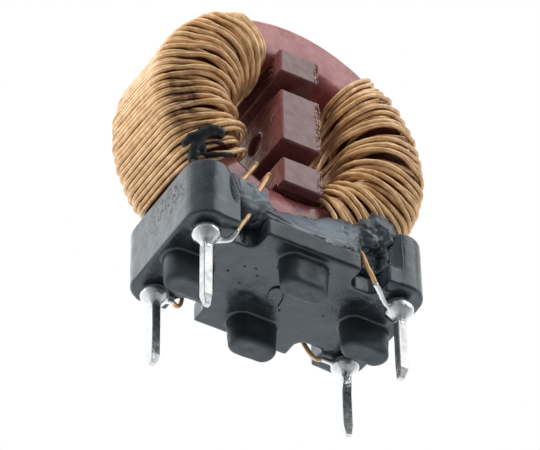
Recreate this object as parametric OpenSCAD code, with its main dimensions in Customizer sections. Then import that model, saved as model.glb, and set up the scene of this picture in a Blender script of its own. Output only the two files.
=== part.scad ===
// Upright common-mode choke: a coated toroid with two copper windings, set on edge in a
// black four-pin header. Units are millimetres, +Z is up, away from the circuit board.
// Origin: centre of the four-pin grid, on the plane of the stand-off feet that meets the board.
// X runs along the long pin spacing, and Y along the axis of the toroid.

/* [Header] */
// Length of the header along X
base_len = 18.3; // [18:0.1:18.8]
// Depth of the header's plate along Y
base_dep = 10.1; // [9.8:0.1:10.6]
// Thickness of the plate between the end blocks
plate_t = 1.6; // [1.2:0.1:1.9]
// Height of the four stand-off feet
foot_h = 2.3; // [1.8:0.1:2.6]
// Length of a foot along X
foot_len = 3.55; // [3:0.05:3.7]
// Depth of a foot along Y
foot_dep = 1.95; // [1.8:0.05:2.1]
// Height of the end blocks above the plate's underside
block_h = 4.9; // [4.6:0.1:5.2]
// Radius of the corner posts in plan
post_r = 1.65; // [1.5:0.05:1.7]
// Width of a wire notch in the plate's edge
notch_w = 2.2; // [1.8:0.1:2.3]
// Depth of a wire notch
notch_dep = 1.8; // [1.6:0.1:1.9]

/* [Pins] */
// Pin spacing along X
pin_pitch_x = 15; // [15:0.1:15.2]
// Pin spacing along Y
pin_pitch_y = 7; // [7:0.1:7.2]
// Side of the square pin
pin_w = 0.66; // [0.5:0.02:0.8]
// How far the pin reaches below the feet
pin_reach = 4.4; // [3:0.1:6]
// Length of the pin's pyramid tip
tip_len = 0.9; // [0.6:0.1:1.6]
// Radius of the solder bead round each pin
bead_r = 0.94; // [0.8:0.02:1]

/* [Core] */
// Outside diameter of the coated core
core_od = 20.8; // [20.6:0.1:20.8]
// Inside diameter of the coated core
core_id = 12.4; // [12.2:0.1:12.8]
// Width of the core along its axis
core_w = 7; // [6.6:0.1:7]
// Radius of the core's rounded edges
core_edge = 1; // [0.7:0.1:1.2]
// Height of the core's axis above the board
core_z = 14.82; // [14.82:0.02:15.1]
// Offset of the core's axis along X
core_x = -0.44; // [-0.44:0.02:0]

/* [Windings] */
// Diameter of the enamelled wire
wire_d = 0.38; // [0.32:0.01:0.38]
// Turns in a winding's first layer; the second has one more
layer_turns = 23; // [16:1:23]
// Angle between neighbouring turns round the outside, in degrees
slot_pitch = 2.2; // [2.1:0.05:2.3]
// Turns that lie together before a wider gap
bundle = 4; // [3:1:6]
// How far the first layer bows off the middle of the core's faces
bow = 1.05; // [0.2:0.05:1.1]

/* [Divider] */
// Width of the divider's bars along X
bar_w = 2.96; // [2.4:0.02:3.1]
// Length of the divider along Y
bar_len = 8.8; // [8:0.1:9.2]
// Thickness of the web that joins the bars
web_t = 1.2; // [0.8:0.1:1.6]

/* [Hidden] */
$fn = 96;
// Running gap between pieces that touch without being one
gap = 0.01;
half_len = base_len / 2;
half_dep = base_dep / 2;
plate_top = foot_h + plate_t;
block_top = foot_h + block_h;
pin_x = pin_pitch_x / 2;
pin_y = pin_pitch_y / 2;
// The pins end inside the posts, under the saddle that carries the ring
pin_top = foot_h + 3.8;
tip_flat = 0.34;
foot_y = 3.42;
foot_x = 6.88;
foot_corner = 0.85;
// Notches lie between each post and the plate's middle
notch_x = 4.72;
notch_round = 0.75;
// Two posts, on one diagonal, keep a square corner toward their notch
key_x = 5.72;
key_slope_x = 6.6;
key_low = foot_h + 2.6;
core_ro = core_od / 2;
core_ri = core_id / 2;
core_half = core_w / 2;
wire_r = wire_d / 2;
// Height of the first layer's centre line over the core, and of a wire that crosses over it
rise_1 = wire_r + gap;
rise_2 = rise_1 + wire_d * 1.05;
// How far the second layer is lifted in the bore, and over the inner part, the middle and the
// rim of a face, where the header holds the turns close to the core
lift_bore = wire_d * 1.14;
lift_face = wire_d;
lift_rim = wire_d * 0.32;
// How much further it lifts above the header, where the turns are free and bow outward
free_bore = wire_d * 0.83;
free_face = wire_d * 0.3;
// Height over which the turns go from held to free
free_rise = 1.5;
// The windings' outside, which the saddle and the resin are cut back from
env_r = core_ro + wire_d + 0.03;
env_half = core_half + wire_d + lift_bore + 0.05;
env_inner = core_ri - 2.3 * wire_d;
// Sectors of the ring that are wound, in degrees from +X toward +Z
left_low = 222;
left_high = 113;
right_low = -66;
right_high = 54;
wire_sides = 6;
// Heights of the divider's three bars, from the core's axis
bar_top_low = 4.14;
bar_mid_high = 2.43;
bar_mid_low = -2.34;
bar_bottom_high = -4.15;
web_half = 2.2;
bar_round = 0.18;
mark_r = 0.75;
mark_deep = 0.3;
// Channel in the resin round a wire, clear of the wire's corners
channel_r = (wire_r + 2 * gap) / cos(180 / wire_sides);
// Sweep of each winding's lower end that the resin is kept clear of
potted_sweep = 60;
resin_top = 7;
resin_half = 5;
// Lumps of resin where it ran round the front leads
lump_left = [-4.9, -3.95, 5.6];
lump_right = [5.4, -3.9, 6];
lump_r = 1.15;
// Drop on the left winding: its ball's radius, and where its middle is on the ring
drop_r = 1.45;
drop_at = 9;
drop_out = 3.75;
drop_deg = 213;
drop_sweep = 24;
// Room left round the free turns under the drop, wide enough for the corners of their wire
bowed_skin = wire_d * 0.6;

plastic = [0.17, 0.18, 0.2];
tin = [0.82, 0.82, 0.83];
red_coat = [0.48, 0.16, 0.15];
maroon = [0.36, 0.17, 0.17];
copper = [0.72, 0.47, 0.24];
resin_black = [0.08, 0.09, 0.11];

// ---- shared geometry ----

// Runs its children's 2-D outline, drawn as radius and axial position, round the core's axis
module round_axis(from, sweep)
  translate([core_x, 0, core_z])
    rotate([90, 0, 0])
      rotate([0, 0, from])
        rotate_extrude(angle = sweep)
          children();

// Rectangle from x0 to x1, of half height h, with round corners
module round_section(x0, x1, h, r) {
  translate([x0 + r, -h])
    square([x1 - x0 - 2 * r, 2 * h]);
  translate([x0, -h + r])
    square([x1 - x0, 2 * (h - r)]);
  for (x = [x0 + r, x1 - r], y = [-h + r, h - r])
    translate([x, y])
      circle(r);
}

// Point of the ring's own frame: radius, axial position and angle
function ring_pt(r, y, a) = [core_x + r * cos(a), y, core_z + r * sin(a)];

// The wire bends round the core's edges in chamfers that lie outside the bend's arc
bend = core_edge + rise_1;
bend_cut = bend * (1 - tan(22.5));
turn_out = core_ro + rise_1;
turn_in = core_ri - rise_1;
turn_half = core_half + rise_1;

// How free a turn is at a height: 0 between the header's posts, 1 well above them
function free(r, deg) =
  min(1, max(0, (core_z + r * sin(deg) - block_top - wire_r - gap) / free_rise));

// Corner of a turn at radius r and a height y off the ring's middle plane, moved out to radius
// r_free and by dy where the turn is free
function bowed(r, r_free, y, dy, deg) =
  let (k = free(r, deg))
  [r + k * (r_free - r), y + sign(y) * k * dy];

// Corners of one turn in the ring's section, as radius and axial position, from the outside over
// the back face, through the bore and up the front face. over is 1 in the second layer.
rim_r = turn_out - bend_cut;
inner_r = turn_in + bend_cut;
third = (rim_r - inner_r) / 3;
function face_corners(over, deg, s) = [
  bowed(rim_r, rim_r + 0.12, s * (turn_half + over * lift_rim), 0, deg),
  bowed(rim_r - third, rim_r - 1.1, s * (turn_half + over * lift_face), 0.5 * bow, deg),
  bowed(inner_r + third, inner_r + 0.4, s * (turn_half + over * lift_face),
        0.75 * bow + over * free_face, deg),
  bowed(inner_r, turn_in - over * (lift_bore + 0.15), s * (turn_half + over * lift_bore),
        0.38 * bow, deg)];
function bore_r(over, deg) = turn_in - over * (lift_bore + free_bore * free(turn_in, deg));
function turn_corners(over, deg) = concat(
  [[turn_out, turn_half - bend_cut]],
  face_corners(over, deg, 1),
  [[bore_r(over, deg), turn_half - bend_cut], [bore_r(over, deg), bend_cut - turn_half]],
  [for (i = [3:-1:0]) face_corners(over, deg, -1)[i]],
  [[turn_out, bend_cut - turn_half]]);
bore_corner = 5;
last_corner = 11;

// Slots lie side by side round the ring's outside. The first layer takes the even ones on its
// way up, and the second layer comes back down through the odd ones, and ends below slot 0.
slots = [for (k = [0:layer_turns - 1]) 2 * k,
         for (k = [layer_turns:-1:-1]) 2 * k + 1];
turn_count = len(slots) - 1;
top_slot = max(slots);

// Angle of a slot, with a wider gap after each bundle
function slot_angle(low, high, s) =
  let (spare = abs(high - low) - slot_pitch * top_slot,
       wide = spare / floor(top_slot / bundle))
  low + sign(high - low) * (slot_pitch * s + wide * floor(s / bundle));

// All the turns of a winding, from corner first of its first turn to corner last of its last.
// A turn moves on to the next slot while it is in the bore.
function turns(low, high, first, last) =
  [for (t = [0:turn_count - 1], i = [0:last_corner])
    if ((t > 0 || i >= first) && (t < turn_count - 1 || i <= last))
      let (deg = slot_angle(low, high, slots[i > bore_corner ? t + 1 : t]),
           c = turn_corners(t < layer_turns ? 0 : 1, deg)[i])
        ring_pt(c[0], c[1], deg)];

// Vector helpers for the wire's cross-sections
function unit(v) = v / norm(v);
function tangent(p, i) = unit(unit(p[min(i + 1, len(p) - 1)] - p[i] + (i == len(p) - 1
  ? p[i] - p[i - 1] : [0, 0, 0])) + unit(i == 0 ? p[1] - p[0] : p[i] - p[i - 1]));
function square_to(v, t) = unit(v - (v * t) * t);

// Round wire through the points p, as one closed surface
module wire(p, r) {
  n = len(p);
  t = [for (i = [0:n - 1]) tangent(p, i)];
  seed = abs(t[0].y) < 0.8 ? [0, 1, 0] : [1, 0, 0];
  u = [for (i = 0, v = square_to(seed, t[0]); i < n;
            i = i + 1, v = i < n ? square_to(v, t[i]) : v) v];
  pts = [for (i = [0:n - 1], k = [0:wire_sides - 1])
    let (w = cross(t[i], u[i]), a = k * 360 / wire_sides)
    p[i] + r * (cos(a) * u[i] + sin(a) * w)];
  m = wire_sides;
  sides = [for (i = [0:n - 2], k = [0:m - 1])
    let (a = i * m + k, b = i * m + (k + 1) % m)
    each [[a, b + m, b], [a, a + m, b + m]]];
  caps = [for (k = [1:m - 2]) each
    [[0, k, k + 1], [(n - 1) * m, (n - 1) * m + k + 1, (n - 1) * m + k]]];
  polyhedron(points = pts, faces = concat(sides, caps), convexity = 8);
}

// ---- wire routes ----

// From the back-left pin up past the loose turn to the first turn
lead_back_left = [[-6.05, 3.66, 1.9], [-5.5, 3.95, 2], [-5.05, 4.25, 2.75], [-4.85, 4.4, 4.2],
                  [-5.1, 4.25, 6], ring_pt(9.2, core_half + rise_2 + 0.1, 234),
                  ring_pt(8, core_half + rise_2, 227)];
// From the stub on the front face down through the resin to the front-left pin
lead_front_left = [[-4.72, -3.98, 7.2], [-5.1, -4.3, 6.2], [-5.2, -4.62, 4.6], [-5.25, -4.8, 3.3],
                   [-5.4, -4.72, 2.75], [-5.56, -4.5, 2.04]];
// From the back-right pin up the core's back face to the first turn
lead_back_right = [[5.9, 3.72, 1.9], [5.42, 3.98, 2], [4.98, 4.2, 2.7], [4.4, 4.4, 4.1],
                   [3.72, 4.2, 5.4], ring_pt(8.8, turn_half, -67)];
// From the last turn down through the resin to the front-right pin
lead_front_right = [ring_pt(8.8, -turn_half - lift_face, -69.5), [3.8, -4.5, 5.6],
                    [3.95, -4.86, 4.2], [4.3, -4.9, 3], [4.93, -4.63, 2.08]];

// The left wire ends in one loose turn well clear of the rest, seen as two stubs in front.
// Each corner is a point on the bend's arc: its angle in the section, and its angle round the
// ring.
function loose(a, deg) =
  ring_pt((a < 90 || a > 270 ? turn_out - bend : turn_in + bend) + bend / cos(15) * cos(a),
          (a < 180 ? 1 : -1) * (turn_half - bend) + bend / cos(15) * sin(a), deg);
loose_turn = [loose(15, 228), loose(45, 229.5), loose(75, 231),
              loose(105, 234), loose(135, 235), loose(165, 236),
              loose(195, 238.5), loose(225, 239), loose(255, 238),
              loose(285, 237), loose(315, 237.5), loose(345, 238),
              loose(15, 241), loose(45, 243), loose(75, 244.5),
              loose(105, 245), loose(135, 245.5), loose(165, 246),
              loose(195, 247), loose(225, 247), loose(255, 247.5), loose(285, 247)];

stub_to_pin = concat(loose_turn, lead_front_left);
route_left = concat(lead_back_left, turns(left_low, left_high, 4, last_corner), stub_to_pin);
route_right = concat(lead_back_right, turns(right_low, right_high, 4, bore_corner + 2),
                     lead_front_right);

// A lead with the stretch of the turns that it runs into
function route_start(route, lead) = [for (i = [0:len(lead)]) route[i]];
function route_end(route, lead) = [for (i = [len(route) - len(lead) - 2:len(route) - 1]) route[i]];

// ---- header ----

module notch() {
  // open-ended slot with a round inner end, centred on its own X
  translate([-notch_w / 2, -0.1])
    square([notch_w, notch_dep - notch_round + 0.1]);
  translate([-notch_w / 2 + notch_round, notch_dep - notch_round - 0.1])
    square([notch_w - 2 * notch_round, notch_round + 0.1]);
  for (x = [-1, 1])
    translate([x * (notch_w / 2 - notch_round), notch_dep - notch_round])
      circle(notch_round);
}

module plate_outline()
  difference() {
    translate([-pin_x, -half_dep])
      square([pin_pitch_x, base_dep]);
    for (sx = [-1, 1]) {
      translate([sx * notch_x, -half_dep])
        notch();
      translate([sx * notch_x, half_dep])
        rotate(180)
          notch();
    }
  }

module end_block_outline()
  for (s = [-1, 1]) {
    translate([half_len - post_r, s * pin_y])
      circle(post_r);
    translate([half_len - 2 * post_r, -pin_y])
      square([2 * post_r, 2 * pin_y]);
  }

// Square corner of the two keyed posts, sloped at the top
module key_corner()
  translate([0, half_dep, 0])
    rotate([90, 0, 0])
      linear_extrude(half_dep - pin_y + 0.6)
        polygon([[key_x, foot_h], [pin_x, foot_h], [pin_x, block_top], [key_slope_x + 0.2, block_top],
                 [key_slope_x - 0.35, block_top - 0.7], [key_x + 0.12, key_low + 0.6],
                 [key_x, key_low]]);

module foot()
  linear_extrude(foot_h + 0.1)
    round_section(-foot_len / 2, foot_len / 2, foot_dep / 2, foot_corner);

module pin_bores()
  for (x = [-pin_x, pin_x], y = [-pin_y, pin_y])
    translate([x, y, foot_h - 1])
      linear_extrude(pin_top - foot_h + 1 + gap)
        square(pin_w + 2 * gap, center = true);

module header_solid() {
  translate([0, 0, foot_h])
    linear_extrude(plate_t)
      plate_outline();
  for (turn = [0, 180])
    rotate([0, 0, turn]) {
      translate([0, 0, foot_h])
        linear_extrude(block_h)
          end_block_outline();
      key_corner();
    }
  for (s = [-1, 1]) {
    translate([s * foot_x, 0, 0])
      foot();
    translate([0, s * foot_y, 0])
      foot();
  }
}

module saddle(shrink)
  translate([core_x, env_half + 2 * gap - shrink, core_z])
    rotate([90, 0, 0])
      cylinder(r = env_r + 2 * gap - shrink, h = 2 * (env_half + 2 * gap - shrink));

module header_base()
  color(plastic)
    difference() {
      header_solid();
      saddle(0);
      pin_bores();
    }

// ---- pins and solder ----

module pin_shape(grow) {
  half = pin_w / 2 + grow;
  translate([-half, -half, -pin_reach + tip_len])
    cube([2 * half, 2 * half, pin_top + pin_reach - tip_len]);
  // four-sided tip, cut off to a small flat
  translate([0, 0, -pin_reach])
    rotate([0, 0, 45])
      cylinder(r1 = tip_flat / sqrt(2), r2 = half * sqrt(2), h = tip_len + gap / 2, $fn = 4);
}

module pin_at(sx, sy)
  color(tin)
    translate([sx * pin_x, sy * pin_y, 0])
      pin_shape(0);

// Bead that hangs from the post's underside round the pin and runs down it
module bead(drop)
  translate([0, 0, foot_h - gap])
    rotate_extrude()
      polygon([[0, 0], [bead_r * 0.72, 0], [bead_r * 0.9, -0.2], [bead_r, -0.5],
               [bead_r * 0.98, -0.8 - drop * 0.5], [bead_r * 0.86, -1.1 - drop],
               [bead_r * 0.62, -1.4 - drop], [pin_w * 0.74, -1.7 - drop],
               [pin_w * 0.6, -2.2 - drop], [0, -2.2 - drop]]);

// Solder of one pin: the bead, and the tinned end of the lead that runs into it
module solder(sx, sy, drop, run)
  color(tin)
    difference() {
      union() {
        translate([sx * pin_x, sy * pin_y, 0])
          bead(drop);
        wire(run, wire_r + 0.01);
      }
      translate([sx * pin_x, sy * pin_y, 0])
        pin_shape(gap);
    }

// The tinned run starts a hair past the copper's end b, in line with its last stretch from a
function tinned(a, b, rest) = concat([b + gap * unit(b - a), b + 0.12 * unit(b - a)], rest);
function bead_entry(sx, sy, z) = [sx * (pin_x - 0.7), sy * (pin_y + 0.05), z];
tin_front_left = tinned(lead_front_left[4], lead_front_left[5],
                        [[-5.85, -4.02, 1.88], [-6.1, -3.74, 1.8], bead_entry(-1, -1, 1.72)]);
tin_front_right = tinned(lead_front_right[3], lead_front_right[4],
                         [[5.4, -4.34, 1.8], [5.83, -4, 1.64], [6.3, -3.7, 1.48],
                          bead_entry(1, -1, 1.42)]);
tin_back_left = tinned(lead_back_left[1], lead_back_left[0], [bead_entry(-1, 1, 1.75)]);
tin_back_right = tinned(lead_back_right[1], lead_back_right[0], [bead_entry(1, 1, 1.75)]);

// ---- ring, divider and windings ----

module core_section(grow)
  round_section(core_ri - grow, core_ro + grow, core_half + grow, core_edge + grow);

module coated_core()
  color(red_coat)
    round_axis(0, 360)
      core_section(0);

module divider_bar(low, high)
  translate([core_x, bar_len / 2, core_z])
    rotate([90, 0, 0])
      linear_extrude(bar_len)
        translate([0, (low + high) / 2])
          round_section(-bar_w / 2, bar_w / 2, (high - low) / 2, bar_round);

module divider_web()
  translate([core_x - web_t / 2, -web_half, core_z - core_ri])
    cube([web_t, 2 * web_half, 2 * core_ri]);

// Round marks sunk in the bars' sides: a dish at the middle, and one near each end
module divider_marks()
  for (s = [-1, 1])
    translate([core_x + s * bar_w / 2, 0, core_z + 0.05])
      rotate([0, 90, 0]) {
        cylinder(r = mark_r, h = 2 * mark_deep, center = true);
        for (y = [-3.3, 3.3])
          translate([0, y, 0])
            cylinder(r = mark_r * 0.6, h = mark_deep * 0.5, center = true);
      }

module core_divider()
  color(maroon)
    intersection() {
      difference() {
        union() {
          divider_bar(bar_top_low, core_ri + 0.3);
          divider_bar(bar_mid_low, bar_mid_high);
          divider_bar(-core_ri - 0.3, bar_bottom_high);
          divider_web();
        }
        divider_marks();
      }
      translate([core_x, bar_len, core_z])
        rotate([90, 0, 0])
          cylinder(r = core_ri - gap, h = 2 * bar_len);
    }

module winding_left()
  color(copper)
    wire(route_left, wire_r);

module winding_right()
  color(copper)
    wire(route_right, wire_r);

// ---- resin ----

module winding_room(from, sweep)
  round_axis(from, sweep)
    round_section(env_inner, env_r, env_half, core_edge + wire_d);

module resin_slab()
  translate([-half_len + post_r, 0, 0])
    rotate([90, 0, 90])
      linear_extrude(base_len - 2 * post_r)
        polygon([[-resin_half, plate_top + gap], [-resin_half, plate_top + 0.3],
                 [-core_half - 0.75, resin_top - 0.5], [-core_half - 0.4, resin_top],
                 [core_half + 0.4, resin_top], [core_half + 0.75, resin_top - 0.5],
                 [resin_half, plate_top + 0.3], [resin_half, plate_top + gap]]);

module potting_resin()
  color(resin_black)
    difference() {
      union() {
        resin_slab();
        for (lump = [lump_left, lump_right])
          translate(lump)
            sphere(lump_r);
      }
      difference() {
        header_solid();
        saddle(gap);
      }
      round_axis(0, 360)
        core_section(gap / 2);
      winding_room(left_low + 5, -potted_sweep);
      winding_room(right_low - 6, potted_sweep);
      for (route = [route_start(route_left, lead_back_left), route_end(route_left, stub_to_pin),
                    route_start(route_right, lead_back_right),
                    route_end(route_right, lead_front_right)])
        wire(route, channel_r);
    }

// Space that the bowed fronts of the free turns take up, with their wire's thickness
module bowed_room(from, sweep)
  round_axis(from, sweep)
    polygon(concat([[turn_in, 0], [turn_out + bowed_skin, 0]],
                   [[turn_out + bowed_skin, turn_half - bend_cut]],
                   [for (c = face_corners(1, 180, 1)) [c[0] + bowed_skin, c[1] + bowed_skin]]));

// Drop of resin run down over the left winding's front
module resin_drop()
  color(resin_black)
    difference() {
      translate(ring_pt(drop_at, -drop_out, drop_deg))
        sphere(drop_r);
      bowed_room(drop_deg - drop_sweep / 2, drop_sweep);
    }

header_base();
pin_at(-1, -1);  // pin_front_left
pin_at(1, -1);  // pin_front_right
pin_at(-1, 1);  // pin_back_left
pin_at(1, 1);  // pin_back_right
solder(-1, -1, 0, tin_front_left);  // solder_front_left
solder(1, -1, 0.25, tin_front_right);  // solder_front_right
solder(-1, 1, 0, tin_back_left);  // solder_back_left
solder(1, 1, 0, tin_back_right);  // solder_back_right
coated_core();
core_divider();
winding_left();
winding_right();
potting_resin();
resin_drop();
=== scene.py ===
import math

import bpy
import numpy as np
from mathutils import Matrix, Vector


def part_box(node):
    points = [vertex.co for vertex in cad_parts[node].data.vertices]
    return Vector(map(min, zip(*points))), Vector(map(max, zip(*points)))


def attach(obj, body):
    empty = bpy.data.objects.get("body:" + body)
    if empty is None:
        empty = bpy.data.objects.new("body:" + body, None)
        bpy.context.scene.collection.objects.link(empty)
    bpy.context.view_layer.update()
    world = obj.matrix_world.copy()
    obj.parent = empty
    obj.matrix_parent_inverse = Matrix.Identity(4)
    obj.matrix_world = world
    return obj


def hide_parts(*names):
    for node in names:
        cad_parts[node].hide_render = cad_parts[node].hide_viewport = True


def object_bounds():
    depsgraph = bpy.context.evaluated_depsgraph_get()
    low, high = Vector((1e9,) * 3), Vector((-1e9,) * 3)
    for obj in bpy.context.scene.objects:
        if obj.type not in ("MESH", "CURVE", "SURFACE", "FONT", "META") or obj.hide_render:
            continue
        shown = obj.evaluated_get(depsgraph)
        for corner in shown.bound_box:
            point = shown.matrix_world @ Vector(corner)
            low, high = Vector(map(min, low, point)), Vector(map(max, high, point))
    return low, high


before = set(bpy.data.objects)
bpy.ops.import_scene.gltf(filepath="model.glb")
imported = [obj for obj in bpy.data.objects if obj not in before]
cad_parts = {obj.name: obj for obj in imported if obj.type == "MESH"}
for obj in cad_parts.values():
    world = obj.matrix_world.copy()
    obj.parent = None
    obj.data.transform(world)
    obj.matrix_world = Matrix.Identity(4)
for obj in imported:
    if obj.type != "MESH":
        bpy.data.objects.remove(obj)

cad_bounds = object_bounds()
# Sizes here are in millimetres, and the scene's own are in metres
MM = 0.001

# ---- camera ----
# The choke is shown from below and a little to its left, so that the pins, the stand-off feet
# and the front of the ring all face the lens. A long lens keeps the header's edges near parallel.
azimuth, elevation, roll = (math.radians(a) for a in (-31.496, -42.698, -1.25))
look_at = Vector((-0.431, 0, 8.615)) * MM
stand_back = 230.845 * MM
lens_axis = Vector((math.sin(azimuth) * math.cos(elevation),
                    -math.cos(azimuth) * math.cos(elevation), math.sin(elevation)))
level = Vector((math.cos(azimuth), math.sin(azimuth), 0))
upright = lens_axis.cross(level)
side = math.cos(roll) * level + math.sin(roll) * upright
top = math.cos(roll) * upright - math.sin(roll) * level

lens = bpy.data.cameras.new("long_lens")
lens.lens = 224.13
lens.sensor_width = 36
lens.clip_start = 0.01
camera = bpy.data.objects.new("camera", lens)
camera.matrix_world = Matrix.Translation(look_at + lens_axis * stand_back) @ Matrix(
    (side, top, lens_axis)).transposed().to_4x4()
bpy.context.scene.collection.objects.link(camera)
bpy.context.scene.camera = camera
bpy.context.scene.view_settings.view_transform = "Standard"

# ---- floor and light ----
# A pale sheet under the pin tips, open from below as a light table is, so that light and lens
# reach the underside through it. A white room and soft boxes light the part from all round.
floor_half = 0.9
bright_way = (0.28, 0.93, 0.08)


def nodes_of(owner):
    owner.use_nodes = True
    owner.node_tree.nodes.clear()
    return owner.node_tree


def add(tree, kind, inputs=None, operation=None):
    """New shader node of a kind, with values for some of its inputs"""
    node = tree.nodes.new("ShaderNode" + kind)
    if operation:
        node.operation = operation
    for socket, value in (inputs or {}).items():
        node.inputs[socket].default_value = value
    return node


def link(tree, a, out, b, into):
    tree.links.new(a.outputs[out], b.inputs[into])


def fit(tree, source, out, low, high, to_low=0, to_high=1):
    """A pattern's values from low to high, fitted to another range"""
    fitted = add(tree, "MapRange", {"From Min": low, "From Max": high, "To Min": to_low, "To Max": to_high})
    link(tree, source, out, fitted, "Value")
    return fitted


sheet_paint = bpy.data.materials.new("pale_sheet")
tree = nodes_of(sheet_paint)
paint = add(tree, "BsdfDiffuse", {"Color": (0.86, 0.86, 0.85, 1)})
clear = add(tree, "BsdfTransparent")
facing = add(tree, "NewGeometry")
mix = add(tree, "MixShader")
out = add(tree, "OutputMaterial")
link(tree, facing, "Backfacing", mix, 0)
link(tree, paint, 0, mix, 1)
link(tree, clear, 0, mix, 2)
link(tree, mix, 0, out, 0)
pin_tip_z = cad_bounds[0][2]
sheet_mesh = bpy.data.meshes.new("light_table")
sheet_mesh.from_pydata([(x * floor_half, y * floor_half, pin_tip_z)
                        for x, y in ((-1, -1), (1, -1), (1, 1), (-1, 1))], [], [(0, 1, 2, 3)])
sheet_mesh.materials.append(sheet_paint)
light_table = bpy.data.objects.new("light_table", sheet_mesh)
bpy.context.scene.collection.objects.link(light_table)
light_table.visible_shadow = False
light_table.visible_diffuse = False
light_table.visible_glossy = False

# The room is white to the lens, and in what it lights it is bright behind and dim in front
room = bpy.data.worlds.new("white_room")
bpy.context.scene.world = room
tree = nodes_of(room)
toward = add(tree, "TexCoord")
bright_side = add(tree, "VectorMath", {1: bright_way}, "DOT_PRODUCT")
walls = add(tree, "Background", {"Color": (0.96, 0.98, 1, 1)})
white = add(tree, "Background", {"Color": (1, 1, 1, 1)})
path = add(tree, "LightPath")
mix = add(tree, "MixShader")
out = add(tree, "OutputWorld")
link(tree, toward, "Generated", bright_side, 0)
link(tree, fit(tree, bright_side, "Value", -1, 1, 0.13, 1.4), 0, walls, "Strength")
link(tree, path, "Is Camera Ray", mix, 0)
link(tree, walls, 0, mix, 1)
link(tree, white, 0, mix, 2)
link(tree, mix, 0, out, 0)


def soft_box(name, direction, size, watts, glints):
    """Round lamp half a metre out from the choke, which the lens itself doesn't see"""
    lamp = bpy.data.lights.new(name, "AREA")
    lamp.shape = "DISK"
    lamp.size = size
    lamp.energy = watts
    box = bpy.data.objects.new(name, lamp)
    place = Vector(direction).normalized() * 0.5
    box.location = look_at + place
    box.rotation_euler = place.to_track_quat("Z", "Y").to_euler()
    box.visible_camera = False
    box.visible_glossy = glints
    bpy.context.scene.collection.objects.link(box)


soft_box("top_left_box", (-0.6, -0.32, 0.73), 0.16, 3.1, False)
soft_box("front_right_box", (0.5, -0.62, 0.6), 0.4, 0.5, True)
soft_box("back_left_box", (-0.45, 0.6, 0.66), 0.5, 0.35, True)

# ---- header ----
# One black plastic moulding: a thin plate on four stand-off feet, two end blocks whose corners
# carry the pins, and four notches in its edges for the wire ends. It is injection moulded, so
# its edges are soft, its walls drift a little, and the plate's underside is the glossy face.
plate_low, plate_high, plate_edge = 2.3, 3.9, 0.2


def middle_and_half(node):
    """Middle and half size of a solid of the frame, to a hundredth of a millimetre"""
    low, high = (np.array(corner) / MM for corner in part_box(node))
    return np.round((low + high) / 2, 2).tolist(), np.round((high - low) / 2, 2).tolist()


header_middle, header_half = middle_and_half("header_base")
pin_middle, pin_half_size = middle_and_half("pin_back_right")
core_middle, core_half_size = middle_and_half("coated_core")
block_high, block_edge = header_middle[2] + header_half[2], 0.16
half_long, half_deep = header_half[0], 5.05
pin_x, pin_y = pin_middle[:2]
post_round, post_edge = 1.65, 0.22
# One corner of each end block is keyed: square in plan, with a shoulder that falls inwards
key_in, key_out, key_deep = 5.68, pin_x + 0.1, 2.6
shoulder_start, shoulder_run = pin_x - 0.1, 1.74
shoulder_low, shoulder_rise = 4.5, 2.78
foot_x, foot_y = 6.88, 3.42
foot_half, foot_corner, foot_edge = (1.83, 1.04), 1.02, 0.3
foot_off, foot_draft = (0.05, 0.07), 0.05
notch_x, notch_half, notch_deep, notch_round = 4.72, 1.1, 1.8, 0.75
# How far a cut starts outside the edge that it cuts
cut_over = 0.4
axis_x, axis_z = core_middle[0], core_middle[2]
saddle_r, saddle_half = 10.84, 4.4
header_step = 0.105
lattice = np.random.default_rng(7).uniform(-1, 1, (32, 32, 32)).astype(np.float32)


def drift(p, size, shift=0):
    """Smooth wander between about -1 and 1 that changes over a distance of size"""
    q = p / size + shift * 7.31
    cell = np.floor(q).astype(int)
    f = q - cell
    f = f * f * (3 - 2 * f)
    total = 0
    for dx in (0, 1):
        wx = f[..., 0] if dx else 1 - f[..., 0]
        for dy in (0, 1):
            wy = f[..., 1] if dy else 1 - f[..., 1]
            for dz in (0, 1):
                wz = f[..., 2] if dz else 1 - f[..., 2]
                total = total + wx * wy * wz * lattice[
                    (cell[..., 0] + dx) % 32, (cell[..., 1] + dy) % 32, (cell[..., 2] + dz) % 32]
    return total


# A body is the distance from its surface at each point of p, in millimetres and negative inside
def melt(a, b, k):
    """Both bodies run together, with a fillet of about k where they meet"""
    h = np.maximum(k - np.abs(a - b), 0) / k
    return np.minimum(a, b) - h * h * k / 4


def carve(a, b, k):
    """Body a with b cut out of it, the cut's edge eased by k"""
    return -melt(-a, b, k)


def eased_corner(a, b, edge):
    """Two distances, each already pulled in by edge, joined round a corner of that radius"""
    return np.hypot(np.maximum(a, 0), np.maximum(b, 0)) + np.minimum(np.maximum(a, b), 0) - edge


def brick(p, low, high, edge):
    low, high = np.array(low), np.array(high)
    q = np.abs(p - (low + high) / 2) - ((high - low) / 2 - edge)
    return np.linalg.norm(np.maximum(q, 0), axis=-1) + np.minimum(q.max(-1), 0) - edge


def peg(p, x, y, low, high, radius, edge):
    """Upright round post from height low to high"""
    across = np.hypot(p[..., 0] - x, p[..., 1] - y) - (radius - edge)
    along = np.abs(p[..., 2] - (low + high) / 2) - ((high - low) / 2 - edge)
    return eased_corner(across, along, edge)


def rounded_plan(p, x, y, half, corner):
    """Distance in plan from a rectangle with round corners"""
    return eased_corner(np.abs(p[..., 0] - x) - half[0] + corner,
                        np.abs(p[..., 1] - y) - half[1] + corner, corner)


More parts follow.
